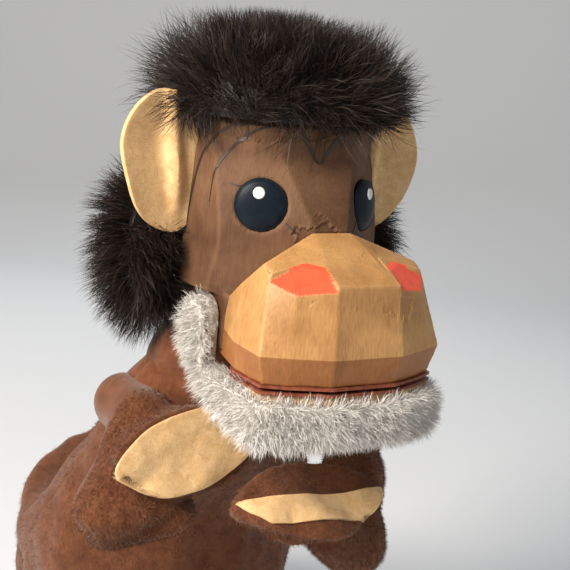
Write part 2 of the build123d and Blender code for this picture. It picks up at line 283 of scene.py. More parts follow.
EYE_PAINT = paint("dark_enamel", (0.004, 0.008, 0.014), 0.42, (0.008, 0.013, 0.020))
EYE_PAINT.node_tree.nodes["Principled BSDF"].inputs["Specular IOR Level"].default_value = 0.14
DOT_PAINT = paint("white_enamel", (0.84, 0.83, 0.80), 0.4, (0.55, 0.54, 0.52))
NOSTRIL_RED = paint("nostril_red", (0.90, 0.095, 0.035), 0.45, (0.72, 0.075, 0.03))
LINE_PAINT = paint("groove_brown", (0.022, 0.011, 0.007), 0.55, (0.04, 0.02, 0.012))


# %% [markdown]
# Felt, fleece and leather share one recipe at different scales: mottled colour, fibre specks
# and a soft height.

# %% cloth and leather finishes
def cloth(name, dark, light, fine, lumps, bump, sheen, distance=0.0008):
    mat, tree, shader = material(name, 0.95, sheen=sheen, specular=0.15)
    nap = group(tree, NAP, Fine=fine, Lumps=lumps)
    base = tint(tree, nap.outputs["Felting"], dark, light, 0.32, 0.68)
    speck = tint(tree, nap.outputs["Fuzz"], (0.74, 0.72, 0.70), (1.0, 1.0, 1.0), 0.38, 0.6)
    tree.links.new(mixed(tree, 0.7, base, speck, "MULTIPLY"), shader.inputs["Base Color"])
    height = node(tree, "ShaderNodeMath", [(0, nap.outputs["Fuzz"]), (1, nap.outputs["Felting"])])
    bumped(tree, shader, height.outputs[0], bump, distance)
    return mat


FELT = cloth("cream_felt", (0.66, 0.40, 0.175), (0.83, 0.56, 0.29), 1500.0, 190.0, 0.55, 0.12)
FLEECE = cloth("brown_fleece", (0.105, 0.034, 0.014), (0.185, 0.068, 0.030), 1300.0, 120.0, 0.7, 0.28)
LEATHER = cloth("lip_leather", (0.16, 0.04, 0.022), (0.32, 0.095, 0.055), 1800.0, 300.0, 0.35, 0.0,
                0.0004)
LEATHER.node_tree.nodes["Principled BSDF"].inputs["Roughness"].default_value = 0.42


# %% [markdown]
# A hair takes one of three shades of its pile, which keeps a mass of hairs from looking flat.

# %% pile shades
def pile(name, shades, rough):
    """Three plain finishes, from the pile's main shade to its stray one."""
    made = []
    for count, colour in enumerate(shades):
        mat, _, shader = material(f"{name}_{count}", rough, specular=0.35)
        shader.inputs["Base Color"].default_value = (*colour, 1)
        made.append(mat)
    return made


BLACK_PILE = pile("black_pile", [(0.012, 0.008, 0.007), (0.022, 0.014, 0.011), (0.045, 0.027, 0.020)],
                  0.5)
BROWN_PILE = pile("brown_pile", [(0.105, 0.038, 0.017), (0.150, 0.058, 0.027), (0.215, 0.092, 0.046)],
                  0.9)
GREY_PILE = pile("grey_pile", [(0.62, 0.59, 0.55), (0.78, 0.76, 0.73), (0.42, 0.39, 0.36)], 0.7)
print("finishes:", len(bpy.data.materials))


# %% [markdown]
# ## Mesh helpers
# A voxel remesh turns a solid into an even skin of small quads, which can then be worked like
# clay: smoothed, creased or cut.
# Random draws come from one seeded generator. The crown's swirls are the exception: they use
# noise_vector, whose offsets come from the clock, so they differ from run to run.

# %% skins from solids
RANDOM = np.random.default_rng(11)


def new_object(name, mesh, *mats):
    made = bpy.data.objects.new(name, mesh)
    bpy.context.scene.collection.objects.link(made)
    for mat in mats:
        mesh.materials.append(mat)
    return made


def baked(obj):
    """Replace an object's mesh by the result of its modifiers."""
    bpy.context.view_layer.update()
    graph = bpy.context.evaluated_depsgraph_get()
    mesh = bpy.data.meshes.new_from_object(obj.evaluated_get(graph))
    obj.modifiers.clear()
    old, obj.data = obj.data, mesh
    bpy.data.meshes.remove(old)
    return obj


def skin(name, nodes, voxel, smooth, *mats):
    """One even skin over CAD solids."""
    work = bmesh.new()
    for label in nodes:
        work.from_mesh(NODES[label].data)
    mesh = bpy.data.meshes.new(name)
    work.to_mesh(mesh)
    work.free()
    mesh.materials.clear()
    obj = new_object(name, mesh)
    remesh = obj.modifiers.new("even_skin", "REMESH")
    remesh.mode, remesh.voxel_size = "VOXEL", voxel
    if smooth:
        soften = obj.modifiers.new("soften", "SMOOTH")
        soften.factor, soften.iterations = 0.5, smooth
    baked(obj)
    for mat in mats:
        obj.data.materials.append(mat)
    return obj


def from_work(name, work, *mats, smooth=True, matrix=None):
    """Object from a finished bmesh, its faces turned outwards."""
    bmesh.ops.recalc_face_normals(work, faces=work.faces)
    mesh = bpy.data.meshes.new(name)
    work.to_mesh(mesh)
    work.free()
    for face in mesh.polygons:
        face.use_smooth = smooth
    if matrix is not None:
        mesh.transform(matrix)
    return new_object(name, mesh, *mats)


def through(p0, p1, p2, p3, t):
    """Smooth curve from p1 to p2, heading as its neighbours do."""
    return 0.5 * (2 * p1 + (p2 - p0) * t + (2 * p0 - 5 * p1 + 4 * p2 - p3) * t * t
                  + (3 * p1 - p0 - 3 * p2 + p3) * t ** 3)


def head_local(p):
    """Frame points to millimetres from the nose root."""
    return np.stack([p[:, 0] * 1000, (NOSE_Y - p[:, 1]) * 1000, (p[:, 2] - NOSE_Z) * 1000], axis=1)


def points_of(mesh):
    co = np.empty(len(mesh.vertices) * 3)
    mesh.vertices.foreach_get("co", co)
    return co.reshape(-1, 3)


def normals_of(mesh):
    no = np.empty(len(mesh.vertices) * 3)
    mesh.vertices.foreach_get("normal", no)
    return no.reshape(-1, 3)


def set_points(mesh, co):
    mesh.vertices.foreach_set("co", np.ascontiguousarray(co).ravel())
    mesh.update()


# %% [markdown]
# ## Knife facets
# A whittled surface is what is left after many flat cuts, so each spot is bounded by the
# lowest of the cut planes near it. The same idea works on a fine skin: scatter cut planes
# with slightly tilted directions, then move each point along its normal to the lowest plane.

# %% knife cuts
HOLLOW = 5.5              # a gouge leaves each cut slightly hollow: rise per metre squared
CUT_TRIES = 6000          # spots tried as the middle of a cut
NEAR_CUTS = 9


def knife(obj, spacing, tilt, depth, limit, stretch=(1, 1, 1), skip=None):
    """Pare a skin down to the lowest of the cuts near each point, by at most the limit."""
    mesh = obj.data
    co, no = points_of(mesh), normals_of(mesh)
    scaled = co * np.array(stretch)
    chosen = []
    order = RANDOM.permutation(len(co))[:CUT_TRIES]
    taken = {}
    for i in order:
        cell = tuple(np.floor(scaled[i] / spacing).astype(int))
        near = [taken.get((cell[0] + a, cell[1] + b, cell[2] + c))
                for a in (-1, 0, 1) for b in (-1, 0, 1) for c in (-1, 0, 1)]
        if any(j is not None and np.linalg.norm(scaled[j] - scaled[i]) < spacing for j in near):
            continue
        taken[cell] = i
        chosen.append(i)
    tree = KDTree(len(chosen))
    for count, i in enumerate(chosen):
        tree.insert(scaled[i], count)
    tree.balance()
    chosen = np.array(chosen)
    cut_no = no[chosen] + RANDOM.normal(0, tilt, (len(chosen), 3))
    cut_no /= np.linalg.norm(cut_no, axis=1)[:, None]
    cut_at = co[chosen] - no[chosen] * RANDOM.uniform(0, depth, (len(chosen), 1))
    near = np.array([[hit[1] for hit in tree.find_n(p, NEAR_CUTS)] for p in scaled])
    facing = np.einsum("vkc,vc->vk", cut_no[near], no)
    lift = np.einsum("vkc,vkc->vk", cut_at[near] - co[:, None], cut_no[near]) / np.maximum(facing, 0.4)
    lift += HOLLOW * np.linalg.norm(co[chosen][near] - co[:, None], axis=2) ** 2
    lift[facing < 0.75] = limit
    move = np.clip(lift.min(axis=1), -limit, 0.0)
    same = np.einsum("vkc,vc->vk", no[chosen][near], no).min(axis=1)
    move *= np.clip((same - 0.2) / 0.4, 0.0, 1.0)
    if skip is not None:
        move[skip(co)] = 0.0
    set_points(mesh, co + no * move[:, None])
    print(obj.name, "knife cuts:", len(chosen), "faces:", len(mesh.polygons))


# %% [markdown]
# ## The carved head
# The skull and muzzle are two blocks. Their broad planes come from the solids, and small
# knife facets go over them. The muzzle's cuts are larger and run upright, as the carver
# worked from the lip upwards. Both are flat shaded, because each cut is flat.

# %% cranium
cranium = skin("carved_cranium", ["cranium"], 0.0014, 3, STAINED)
knife(cranium, 0.0100, 0.075, 0.0004, 0.0009)
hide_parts("cranium")
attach(cranium, "head")

# %% [markdown]
# The nostril cuts are single flat chops, so the small facets stop just short of them.

# %% muzzle
CUT_OUT, CUT_FORWARD, CUT_UP = 0.334, 0.529, 0.779      # the way the left nostril's floor faces


def above_cut(x, f, z):
    """Height over the floor of a nostril cut, in millimetres, with x taken as positive."""
    return CUT_OUT * (x - 26.9) + CUT_FORWARD * (f - 20.1) + CUT_UP * (z + 12.6)


def near_nostril(co):
    """Points on or just beside the nostril cuts."""
    x, f, z = np.abs(co[:, 0]) * 1000, (NOSE_Y - co[:, 1]) * 1000, (co[:, 2] - NOSE_Z) * 1000
    return (x > 17.4) & (f > 17.5) & (z > -31) & (np.abs(above_cut(x, f, z)) < 2.2)


muzzle = skin("carved_muzzle", ["muzzle"], 0.00095, 1, HONEY, NOSTRIL_RED)
knife(muzzle, 0.0110, 0.055, 0.0002, 0.0009, stretch=(1.0, 1.0, 0.5), skip=near_nostril)
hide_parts("muzzle")
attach(muzzle, "head")


# %% [markdown]
# ## Nostrils
# Each nostril is one flat chop across a top corner of the muzzle, painted red. The paint
# covers the cut's floor, so faces take it by where they lie and which way they are turned.

# %% nostril paint
def in_nostril(centre, normal):
    """Does a face lie on the flat floor of a nostril cut?"""
    x, f, z = abs(centre.x) * 1000, (NOSE_Y - centre.y) * 1000, (centre.z - NOSE_Z) * 1000
    outwards = math.copysign(normal.x, normal.x * centre.x)
    turned = CUT_OUT * outwards - CUT_FORWARD * normal.y + CUT_UP * normal.z
    return x > 18.0 and f > 18.5 and z > -30 and abs(above_cut(x, f, z)) < 0.7 and turned > 0.90


painted = 0
for face in muzzle.data.polygons:
    if in_nostril(face.center, face.normal):
        face.material_index = 1
        painted += 1
print("nostril faces:", painted)


# %% [markdown]
# ## Eyes
# A disc let into a round socket, slightly domed so that it catches the light, with a turned
# groove near its rim. It is a lathe form: one profile spun round the eye's axis.

# %% eyes
def lathe(name, profile, steps, matrix, *mats):
    """Spin (radius, height) points round the local Z axis."""
    work = bmesh.new()
    rings = []
    for radius, height in profile:
        if radius == 0:
            rings.append([work.verts.new((0, 0, height))])
            continue
        rings.append([work.verts.new((radius * math.cos(t), radius * math.sin(t), height))
                      for t in np.linspace(0, 2 * math.pi, steps, endpoint=False)])
    for inner, outer in zip(rings, rings[1:]):
        for k in range(steps):
            if len(inner) == 1:
                work.faces.new((inner[0], outer[k], outer[(k + 1) % steps]))
            elif len(outer) == 1:
                work.faces.new((inner[k], outer[0], inner[(k + 1) % steps]))
            else:
                work.faces.new((inner[k], outer[k], outer[(k + 1) % steps], inner[(k + 1) % steps]))
    return from_work(name, work, *mats, matrix=matrix)


EYE_YAW, EYE_TILT = math.radians(32.6), math.radians(4.9)    # the eye facets face out and up
EYE_X, EYE_F, EYE_Z = 31.3, -19, 10.3


def eye_matrix(side, lift=0.0, up=0.0, out=0.0):
    """Placing of a turned piece on an eye's facet, moved along its own axes."""
    flat = math.cos(EYE_TILT)
    normal = Vector((side * math.sin(EYE_YAW) * flat, -math.cos(EYE_YAW) * flat, math.sin(EYE_TILT)))
    across = Vector((math.cos(EYE_YAW), side * math.sin(EYE_YAW), 0)).normalized()
    rise = normal.cross(across)
    spot = at(side * EYE_X, EYE_F, EYE_Z) + normal * lift + rise * up + across * (side * out)
    return Matrix.Translation(spot) @ Matrix((across, rise, normal)).transposed().to_4x4()


EYE_PROFILE = [(0, 0.0030), (0.004, 0.00285), (0.008, 0.0024), (0.0112, 0.0016), (0.0121, 0.0011),
               (0.0125, 0.0004), (0.0129, 0.0010), (0.0133, 0.0004), (0.0133, -0.0028), (0, -0.0028)]
DOT_PROFILE = [(0, 0.0007), (0.0009, 0.00045), (0.0013, 0.00075), (0.0024, 0.00075), (0.0030, 0.00035),
               (0.0031, -0.0006), (0, -0.0006)]
for side, label in SIDES:
    eye = lathe(f"{label}_eye_dome", EYE_PROFILE, 64, eye_matrix(side), EYE_PAINT)
    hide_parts(f"{label}_eye")
    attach(eye, "head")
    dot = lathe(f"{label}_eye_dot", DOT_PROFILE, 32, eye_matrix(side, 0.0025, 0.0058, 0.0012), DOT_PAINT)
    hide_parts("eye_glints")
    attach(dot, "head")


# %% [markdown]
# ## Cut and painted lines
# The brow notch, the arcs beside the face and the ticks at the eyelids are knife lines with
# dark stain in them. Each is a tapered ribbon pressed onto the carved skin.

# %% line ribbons
RIBBON_SECTION = ((-1, -0.3), (-0.85, 0.28), (0.85, 0.28), (1, -0.3))   # half widths, lift in mm


def ribbon(name, path, widths, target, mat):
    """Tapered strip along (x, f, z) points, laid on the target's surface."""
    guide = [at(*p) for p in path]
    steps = 28
    samples = []
    for s in np.linspace(0, len(guide) - 1, steps):
        k = min(int(s), len(guide) - 2)
        p0, p1 = guide[max(k - 1, 0)], guide[k]
        p2, p3 = guide[k + 1], guide[min(k + 2, len(guide) - 1)]
        t = s - k
        samples.append(through(p0, p1, p2, p3, t))
    work = bmesh.new()
    rows = []
    for k, p in enumerate(samples):
        ahead = (samples[min(k + 1, steps - 1)] - samples[max(k - 1, 0)]).normalized()
        normal = target.closest_point_on_mesh(p)[2]
        across = ahead.cross(normal).normalized()
        width = float(np.interp(k / (steps - 1), np.linspace(0, 1, len(widths)), widths)) / 1000
        row = []
        for shift, lift in RIBBON_SECTION:
            _, spot, out, _ = target.closest_point_on_mesh(p + across * (width * shift / 2))
            row.append(work.verts.new(spot + out * (lift / 1000)))
        rows.append(row)
    for a, b in zip(rows, rows[1:]):
        for k in range(3):
            work.faces.new((a[k], a[k + 1], b[k + 1], b[k]))
        work.faces.new((a[3], a[0], b[0], b[3]))
    work.faces.new(rows[0][::-1])
    work.faces.new(rows[-1])
    made = from_work(name, work, mat, smooth=False)
    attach(made, "head")
    return made


# name: points on the puppet's left side (left, forward, up), and widths along the line in mm
FACE_LINES = {
    "outer_arc": ([(36, -20, 53), (45, -34, 47), (50, -50, 32), (51, -56, 10), (51, -58, -12)],
                  [0.6, 2.0, 1.6, 0.5]),
    "inner_arc": ([(25, -17, 52), (38, -28, 43), (46, -38, 28), (49, -40, 8)],
                  [0.5, 1.6, 1.2, 0.3]),
    "lid_outer": ([(44.5, -30, 19.5), (41, -27, 18.5), (38, -24.5, 18.5)], [0.3, 1.2, 0.8]),
    "lid_inner": ([(21, -10.5, 2.5), (18.5, -7, -0.5), (16, -5, -2.5)], [0.9, 1.1, 0.3]),
    "brow_cut": ([(0.5, -18, 31), (6, -17, 39), (13, -16, 48)], [1.0, 2.6, 3.0]),
}
for side, label in SIDES:
    for line, (path, widths) in FACE_LINES.items():
        mirrored = [(side * x, f, z) for x, f, z in path]
        ribbon(f"{label}_{line}", mirrored, widths, cranium, LINE_PAINT)
print("lines cut")


# %% [markdown]
# ## Ears
# Each ear is one thick piece of felt with a flap folded in along its inner edge. A grid of
# points is bent to the ear's outline, cupped towards the front, then given its thickness.

# %% ears
EAR_RIM = [(47, 8), (48, 34), (55, 57), (70, 62), (84, 53), (91, 32), (85, 9), (72, -7), (58, -11),
           (48, -3)]
EAR_THICKNESS, PALM_THICKNESS = 0.0026, 0.0019


def closed_curve(points, count):
    """Even points round a smooth closed curve."""
    pts = np.array(points, float)
    n = len(pts)
    out = []
    for s in np.linspace(0, n, count, endpoint=False):
        k, t = int(s), s - int(s)
        out.append(through(*(pts[(k + j) % n] for j in (-1, 0, 1, 2)), t))
    return np.array(out)


def flat_felt(name, rim, shape, thickness, mat, rings=14, count=96):
    """Felt cut to a rim and bent by shape(x, z), which returns the forward position."""
    centre = rim.mean(axis=0)
    work = bmesh.new()
    loops = []
    for r in np.linspace(1, 0, rings, endpoint=False):
        loops.append([work.verts.new(shape(*(centre + (p - centre) * r))) for p in rim])
    hub = work.verts.new(shape(*centre))
    for a, b in zip(loops, loops[1:]):
        for k in range(count):
            work.faces.new((a[k], a[(k + 1) % count], b[(k + 1) % count], b[k]))
    for k in range(count):
        work.faces.new((loops[-1][k], loops[-1][(k + 1) % count], hub))
    made = from_work(name, work, mat)
    thick = made.modifiers.new("felt_thickness", "SOLIDIFY")
    thick.thickness, thick.offset = thickness, 0
    round_edge = made.modifiers.new("felt_edge", "BEVEL")
    round_edge.width, round_edge.segments, round_edge.limit_method = thickness * 0.3, 2, "ANGLE"
    return baked(made)


for side, label in SIDES:
    rim = closed_curve(EAR_RIM, 96)
    rim[:, 0] += 0.5 * np.sin(np.linspace(0, 30, 96))

    def ear_shape(x, z):
        """Cupped flap with a rolled fold beside the head."""
        roll = 4.2 * math.exp(-((x - 61 - (z - 25) * 0.10) / 3.6) ** 2) * min(1, max(0, (z + 6) / 20))
        cup = 3.2 * ((x - 66) / 25) ** 2 + 1.6 * math.sin(z / 9.0) * (x - 47) / 44
        dent = -2.0 * math.exp(-(((x - 71) / 8) ** 2 + ((z - 36) / 12) ** 2))
        return at(side * x, -60 + roll + cup + dent, z)

    ear = flat_felt(f"{label}_felt_ear", rim, ear_shape, EAR_THICKNESS, FELT)
    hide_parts(f"{label}_ear")
    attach(ear, "head")
print("ears made")


# %% [markdown]
# ## Long and short pile
# Fur is thousands of tapered hairs. Each hair is a narrow strip that bends and droops, and
# hairs close together lean towards a shared tip, which gives the tufted look of real pile.
# A dark pelt under the hairs closes the gaps.

# %% hair builder
HAIR_SHARES = [0.4, 0.4, 0.2]             # how many hairs take each of a pile's shades
HAIRS_PER_TUFT = 22


def strands(name, roots, dirs, lengths, width, droop, curl, clump, mats, body, levels=4):
    """Tapered, bent strips from the roots, drawn together at their tips into tufts."""
    count = len(roots)
    dirs = dirs / np.linalg.norm(dirs, axis=1)[:, None]
    bend = RANDOM.normal(0, 1, (count, 3))
    bend -= dirs * np.einsum("nc,nc->n", bend, dirs)[:, None]
    bend /= np.linalg.norm(bend, axis=1)[:, None]
    tips = roots + dirs * lengths[:, None] + bend * (lengths * curl)[:, None]
    tips[:, 2] -= lengths * droop
    seeds = RANDOM.choice(count, max(8, count // HAIRS_PER_TUFT), replace=False)
    tree = KDTree(len(seeds))
    for k, i in enumerate(seeds):
        tree.insert(roots[i], k)
    tree.balance()
    lead = seeds[[tree.find(p)[1] for p in roots]]
    strength = clump * RANDOM.uniform(0.3, 1.0, count)
    tips += (tips[lead] - tips) * strength[:, None]
    side = np.cross(dirs, RANDOM.normal(0, 1, (count, 3)))
    side /= np.linalg.norm(side, axis=1)[:, None]
    middle = roots + dirs * (lengths * 0.55)[:, None]
    rows = []
    for k in range(levels):
        t = k / levels
        spine = roots * (1 - t) ** 2 + middle * (2 * t * (1 - t)) + tips * t ** 2
        half = width * 0.5 * (1 - t) ** 0.6
        rows += [spine - side * half, spine + side * half]
    rows.append(tips)
    co = np.stack(rows, axis=1).reshape(-1, 3)
    per = 2 * levels + 1
    base = np.arange(count)[:, None] * per
    faces = []
    for k in range(levels - 1):
        faces.append(base + np.array([2 * k, 2 * k + 1, 2 * k + 3, 2 * k + 2]))
    quads = np.stack(faces, axis=1).reshape(-1, 4)
    ends = base + np.array([2 * levels - 2, 2 * levels - 1, 2 * levels])
    mesh = bpy.data.meshes.new(name)
    mesh.from_pydata(co.tolist(), [], quads.tolist() + ends.tolist())
    shade = RANDOM.choice(len(mats), count, p=HAIR_SHARES)
    index = np.concatenate([np.repeat(shade, levels - 1), shade])
    made = new_object(name, mesh, *mats)
    mesh.polygons.foreach_set("material_index", index.astype(np.int32))
    mesh.update()
    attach(made, body)
    print(name, "hairs:", count)
    return made


def pelt_points(obj, count, keep):
    """Random points and normals over a mesh where keep(points, normals) holds."""
    mesh = obj.data
    mesh.calc_loop_triangles()
    co, no = points_of(mesh), normals_of(mesh)
    tri = np.array([t.vertices[:] for t in mesh.loop_triangles])
    a, b, c = co[tri[:, 0]], co[tri[:, 1]], co[tri[:, 2]]
    area = np.linalg.norm(np.cross(b - a, c - a), axis=1)
    pick = RANDOM.choice(len(tri), count, p=area / area.sum())
    u, v = RANDOM.uniform(0, 1, (2, count))
    flip = u + v > 1
    u[flip], v[flip] = 1 - u[flip], 1 - v[flip]
    spots = a[pick] + (b[pick] - a[pick]) * u[:, None] + (c[pick] - a[pick]) * v[:, None]
    face_no = no[tri[pick]].mean(axis=1)
    ok = keep(spots, face_no)
    return spots[ok], face_no[ok]


def shrunk_pelt(name, nodes, voxel, inset, mat, body):
    """Dark lumpy backing a little inside the pile's solid."""
    pelt = skin(name, nodes, voxel, 6, mat)
    co, no = points_of(pelt.data), normals_of(pelt.data)
    set_points(pelt.data, co - no * inset)
    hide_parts(*nodes)
    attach(pelt, body)
    return pelt


# %% [markdown]
# The crown's pile stands up in swirls of uneven length. The cheek tufts spread outwards and
# fall. Both start from the pelts' skins, and leave bare what lies against the skull or an ear.

# %% crown and cheek fur
LONG_HAIR = 0.00042       # width at the root
crown = shrunk_pelt("crown_pelt", ["crown_fur"], 0.003, 0.004, BLACK_PILE[0], "head")


def crown_keep(p, n):
    """All but the underside that rests on the skull."""
    q = head_local(p)
    skull_side = (np.abs(q[:, 0]) < 53) & (q[:, 1] > -106) & (q[:, 2] < 52) & (n[:, 2] < -0.2)
    return ~skull_side


CROWN_CEILING = 0.379     # hairs are trimmed to about this height


for part in range(3):
    spots, up = pelt_points(crown, 9500, crown_keep)
    q = head_local(spots)
    swirl = np.array([noise.noise_vector(Vector(p) * 34 + Vector((part, 0, 0))) for p in spots])
    lean = up + np.array([0, 0, 0.25]) + 1.5 * swirl + RANDOM.normal(0, 0.26, up.shape)
    tall = np.array([noise.noise(Vector(p) * 42 + Vector((7, part, 0))) for p in spots])
    lengths = RANDOM.uniform(0.010, 0.027, len(spots)) * (1.0 + 0.9 * tall)
    rise = lean[:, 2] / np.linalg.norm(lean, axis=1)
    lengths = np.minimum(lengths, (CROWN_CEILING - spots[:, 2]) / np.maximum(rise, 0.15))
    strands(f"crown_hair_{part}", spots, lean, lengths, LONG_HAIR, 0.06, 0.28, 0.62, BLACK_PILE,
            "head")

def cheek_keep(p, n):
    """Outside the skull, and not where the tuft lies against the back of an ear."""
    q = head_local(p)
    return (np.abs(q[:, 0]) > 50) & ~((q[:, 1] > -70) & (q[:, 2] > -9))


for side, label in SIDES:
    tuft = shrunk_pelt(f"{label}_cheek_pelt", [f"{label}_cheek_fur"], 0.003, 0.004, BLACK_PILE[0],
                       "head")
    spots, up = pelt_points(tuft, 12000, cheek_keep)
    q = head_local(spots)
    none = 0 * q[:, 0]
    away = np.stack([side * (0.25 + none), -0.1 + none, 0.010 * (q[:, 2] + 14)], axis=1)
    lean = up * 0.8 + away + RANDOM.normal(0, 0.25, up.shape)
    lengths = RANDOM.uniform(0.012, 0.026, len(spots))
    lengths *= np.clip((112 - np.abs(q[:, 0])) / 30, 0.5, 1)
    strands(f"{label}_cheek_hair", spots, lean, lengths, LONG_HAIR, 0.16, 0.30, 0.62, BLACK_PILE,
            "head")

# %% [markdown]
# The chin's pile is short and dense and grows forwards off the jaw. A thinner row covers the
# jaw's side arms up to the hinge.

# %% chin fur
chin = shrunk_pelt("chin_pelt", ["chin_fur"], 0.0017, 0.0012, GREY_PILE[0], "lower_jaw")


def chin_keep(p, n):
    """Everywhere but the faces against the jaw's wood."""
    q = head_local(p)
    inner = (n[:, 0] * np.sign(p[:, 0]) < -0.5) | ((n[:, 1] > 0.6) & (q[:, 1] > -18) & (q[:, 2] > -92))
    return ~inner


for part in range(2):
    spots, up = pelt_points(chin, 22000, chin_keep)
    lean = up + np.array([0, -0.22, -0.05]) + RANDOM.normal(0, 0.32, up.shape)
    lengths = RANDOM.uniform(0.0045, 0.0090, len(spots))
    strands(f"chin_hair_{part}", spots, lean, lengths, 0.00034, 0.10, 0.34, 0.5, GREY_PILE,
            "lower_jaw")


# %% fur over the jaw's side arms
def arm_keep(p, n):
    """Outer and front faces of the side arms, clear of the mouth."""
    q = head_local(p)
    outward = n[:, 0] * np.sign(p[:, 0]) > 0.5
    forward = (n[:, 1] < -0.3) | (n[:, 2] > 0.5)
    return (np.abs(q[:, 0]) > 45.5) & (q[:, 1] < 14) & (outward | forward)


spots, up = pelt_points(NODES["jaw"], 26000, arm_keep)
sides = np.sign(spots[:, 0])[:, None] * np.array([1.0, 0, 0])
lean = up * 0.5 + sides * 0.8 + np.array([0, -0.45, 0.10]) + RANDOM.normal(0, 0.28, up.shape)
lengths = RANDOM.uniform(0.004, 0.008, len(spots))
strands("jaw_arm_hair", spots, lean, lengths, 0.00036, 0.05, 0.3, 0.5, GREY_PILE,
        "lower_jaw")


# %% [markdown]
# ## The glove
# The glove is two panels of napped brown cloth sewn up both sides and turned up at the hem.
# It is lofted through rings from the neck to the arm opening, then folded: long soft drags
# run down from the gathered neck, and a seam is drawn in on each side.

# %% ring loft
HEM_UP = Vector((0, -0.56, 0.8285))
HEM_BACK = Vector((0, 0.8285, 0.56))


def level_ring(z, f, half_width, half_depth, count):
    """Ellipse of points, level at a height from the nose root."""
    angles = np.linspace(0, 2 * math.pi, count, endpoint=False)
    return [at(half_width * math.cos(t), f - half_depth * math.sin(t), z) for t in angles]


def hem_ring(up, radius, count):
    """Circle of points square to the arm, this far up from its opening."""
    angles = np.linspace(0, 2 * math.pi, count, endpoint=False)
    return [HEM_UP * up + Vector((radius * math.cos(t), 0, 0)) + HEM_BACK * (radius * math.sin(t))
            for t in angles]


def lofted_cloth(name, rings, steps, push, thickness, mat):
    """Smooth tube through rings of points, each point pushed out by push(u, v, point)."""
    count = len(rings[0])
    work = bmesh.new()
    rows = []
    for s in np.linspace(0, len(rings) - 1, steps):
        k = min(int(s), len(rings) - 2)
        t = s - k
        r0, r1, r2, r3 = (rings[min(max(k + j, 0), len(rings) - 1)] for j in (-1, 0, 1, 2))
        row = []
        for i in range(count):
            row.append(through(r0[i], r1[i], r2[i], r3[i], t))
        middle = sum(row, Vector()) / count
        done = []
        for i, p in enumerate(row):
            out = (p - middle).normalized()
            done.append(work.verts.new(p + out * push(i / count, s / (len(rings) - 1), p)))
        rows.append(done)
    for a, b in zip(rows, rows[1:]):
        for i in range(count):
            work.faces.new((a[i], a[(i + 1) % count], b[(i + 1) % count], b[i]))
    made = from_work(name, work, mat)
    thick = made.modifiers.new("cloth_thickness", "SOLIDIFY")
    thick.thickness, thick.offset = thickness, -1
    return baked(made)


def drag(p, size, seed):
    """Soft fold height at a point, from -1 to 1."""
    spot = Vector((p.x * size, p.y * size, p.z * size * 0.45))
    return noise.noise(spot + Vector((seed, seed * 1.7, 0)))


def glove_push(u, v, p):
    """Outward push of the glove's cloth: sunk seams and hem stitching, and soft folds."""
    seam = min(abs(u), abs(u - 0.5), abs(u - 1.0))
    groove = -0.0013 * math.exp(-(seam / 0.004) ** 2)
    hem = -0.0009 * math.exp(-((v - 0.93) / 0.004) ** 2)
    soft = 0.0042 * drag(p, 26, 3.0) + 0.0022 * drag(p, 70, 8.0)
    return groove + hem + soft * min(1.0, (1 - v) * 5 + 0.25)


# %% [markdown]
# The glove reaches up to the neck's ring, and a gathered piece joins it to the head.

# %% glove and neck
AROUND = 180
glove_rings = [level_ring(*r, AROUND) for r in (
    (-82, -76, 54, 34), (-97, -80, 65, 42), (-112, -88, 70, 45), (-135, -106, 71, 45),
    (-165, -126, 79, 47), (-205, -152, 92, 56))]
glove_rings += [hem_ring(up, radius, AROUND)
                for up, radius in ((0.045, 0.089), (0.022, 0.082), (0.0, 0.080))]
glove = lofted_cloth("glove_body", glove_rings, 110, glove_push, 0.0022, FLEECE)
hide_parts("body_front_panel", "body_back_panel", "hem_band")
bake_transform(glove)

neck_rings = [level_ring(*r, AROUND) for r in (
    (-52, -68, 45, 32), (-60, -69, 49, 34), (-70, -72, 54, 36), (-80, -75, 57, 37),
    (-90, -78, 57, 36))]


def neck_push(u, v, p):
    """Fine gathers at the top of the neck, running out into soft folds."""
    gathers = 0.0009 * math.sin(u * 2 * math.pi * 23 + 2 * math.sin(u * 17)) * (1 - v)
    return gathers + 0.0032 * drag(p, 34, 5.0)


neck = lofted_cloth("neck_cloth", neck_rings, 40, neck_push, 0.002, FLEECE)
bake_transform(neck)
print("glove faces:", len(glove.data.polygons), "neck faces:", len(neck.data.polygons))


# %% [markdown]
# ## Arms and palms
# The arms are stuffed and sewn into the shoulders, so the cloth there is pulled into folds.
# Each is one even skin over the sleeve and mitten, softened, then creased where it bends. A
# cream felt palm is glued on, so it follows the swell of the hand beneath.

# %% arms
def fold_lines(p):
    """Crease depth across the sleeve, deepest at the elbow."""
    q = head_local(np.array([p[:]]))[0]
    wave = math.sin((q[2] * 0.9 + abs(q[0]) * 0.55 + q[1] * 0.35) / 4.6 + 1.5 * noise.noise(p * 45))
    near = math.exp(-((q[2] + 158) / 26) ** 2)
    return near * wave


def arm(side, label):
    """Stuffed sleeve and mitten in one creased skin."""
    made = skin(f"{label}_stuffed_arm", [f"{label}_sleeve", f"{label}_mitten"], 0.0017, 9, FLEECE)
    co, no = points_of(made.data), normals_of(made.data)
    lift = np.array([-0.0012 + 0.0021 * fold_lines(Vector(p))
                     + 0.0014 * drag(Vector(p), 40, 2.0 + side) for p in co])
    set_points(made.data, co + no * lift[:, None])
    made.data.polygons.foreach_set("use_smooth", [True] * len(made.data.polygons))
    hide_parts(f"{label}_sleeve", f"{label}_mitten")
    return made


LEAF = [(-43, 0), (-31, 14), (-16, 20), (4, 21.5), (22, 17), (35, 9), (43, 0), (35, -11),
        (18, -20), (2, -22), (-16, -20.5), (-31, -13)]


